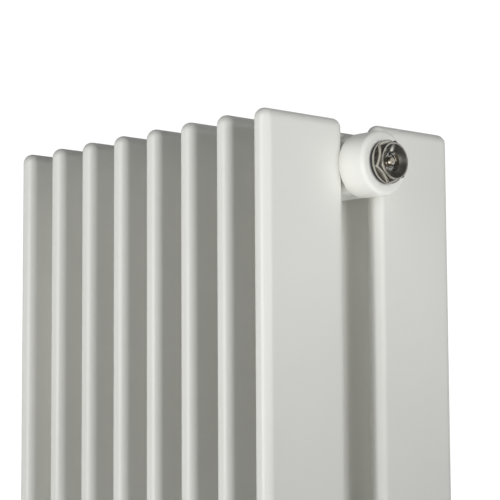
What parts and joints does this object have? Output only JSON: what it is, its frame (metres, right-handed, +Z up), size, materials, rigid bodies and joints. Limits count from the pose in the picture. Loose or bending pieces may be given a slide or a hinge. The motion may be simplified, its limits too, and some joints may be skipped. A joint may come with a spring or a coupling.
{
  "type": "radiator",
  "caption": "Tall steel radiator with two rows of flat upright tubes between headers, side sockets, a bleed valve plug at the top and clamps for a wall.",
  "frame": {"origin": "bottom centre of the whole object's box: on the floor level of the tubes' lower ends, midway between the two plugs' ends, and midway between the front tubes' noses and the wall", "axes": "+Z up along the tubes, +X to the right along the headers seen from the front, +Y towards the wall"},
  "size_m": [0.29, 0.1878, 1.8],
  "materials": {
    "white_powder_coat": "satin white powder coat with a faint orange peel",
    "nickel_plate": "turned and polished, nickel plated",
    "brass": "turned brass under worn plating",
    "zinc_plated_steel": "bright zinc plated",
    "rubber": "matt black",
    "saddle_plastic": "moulded, pale grey",
    "bare_steel": "bare cut sheet"
  },
  "bodies": {
    "radiator": {"tube_front_1": "white_powder_coat", "tube_front_2": "white_powder_coat", "tube_front_3": "white_powder_coat", "tube_front_4": "white_powder_coat", "tube_front_5": "white_powder_coat", "tube_front_6": "white_powder_coat", "tube_front_7": "white_powder_coat", "tube_front_8": "white_powder_coat", "tube_rear_1": "white_powder_coat", "tube_rear_2": "white_powder_coat", "tube_rear_3": "white_powder_coat", "tube_rear_4": "white_powder_coat", "tube_rear_5": "white_powder_coat", "tube_rear_6": "white_powder_coat", "tube_rear_7": "white_powder_coat", "tube_rear_8": "white_powder_coat", "header_top": "white_powder_coat", "header_cap_top_left": "white_powder_coat", "boss_top_left": "white_powder_coat", "header_cap_top_right": "white_powder_coat", "boss_top_right": "white_powder_coat", "header_bottom": "white_powder_coat", "header_cap_bottom_left": "white_powder_coat", "boss_bottom_left": "white_powder_coat", "header_cap_bottom_right": "white_powder_coat", "boss_bottom_right": "white_powder_coat", "flow_baffle": "bare_steel", "vent_body": "nickel_plate", "vent_o_ring": "rubber", "blank_plug": "nickel_plate", "blank_plug_o_ring": "rubber", "wall_bracket_upper_left": "white_powder_coat", "tube_saddle_upper_left": "saddle_plastic", "clamp_bar_upper_left": "zinc_plated_steel", "clamp_bolt_upper_left": "zinc_plated_steel", "clamp_nut_upper_left": "zinc_plated_steel", "wall_bracket_upper_right": "white_powder_coat", "tube_saddle_upper_right": "saddle_plastic", "clamp_bar_upper_right": "zinc_plated_steel", "clamp_bolt_upper_right": "zinc_plated_steel", "clamp_nut_upper_right": "zinc_plated_steel", "wall_bracket_lower_left": "white_powder_coat", "tube_saddle_lower_left": "saddle_plastic", "clamp_bar_lower_left": "zinc_plated_steel", "clamp_bolt_lower_left": "zinc_plated_steel", "clamp_nut_lower_left": "zinc_plated_steel", "wall_bracket_lower_right": "white_powder_coat", "tube_saddle_lower_right": "saddle_plastic", "clamp_bar_lower_right": "zinc_plated_steel", "clamp_bolt_lower_right": "zinc_plated_steel", "clamp_nut_lower_right": "zinc_plated_steel"},
    "bleed_seal": {"bleed_seal": "rubber"},
    "bleed_screw": {"bleed_screw": "brass"}
  },
  "joints": [
    {"name": "bleed_screw_lift", "type": "slide", "parent": "radiator", "child": "bleed_seal", "axis": [1, 0, 0], "range_m": [0, 0.00112]},
    {"name": "bleed_screw_turn", "type": "hinge", "parent": "bleed_seal", "child": "bleed_screw", "pos_m": [0.1392, -0.016, 1.773], "axis": [1, 0, 0], "range_deg": [0, 540]}
  ],
  "couplings": [
    {"joint": "bleed_screw_turn", "follows": "bleed_screw_lift", "rad_per_m": 8377.6}
  ]
}
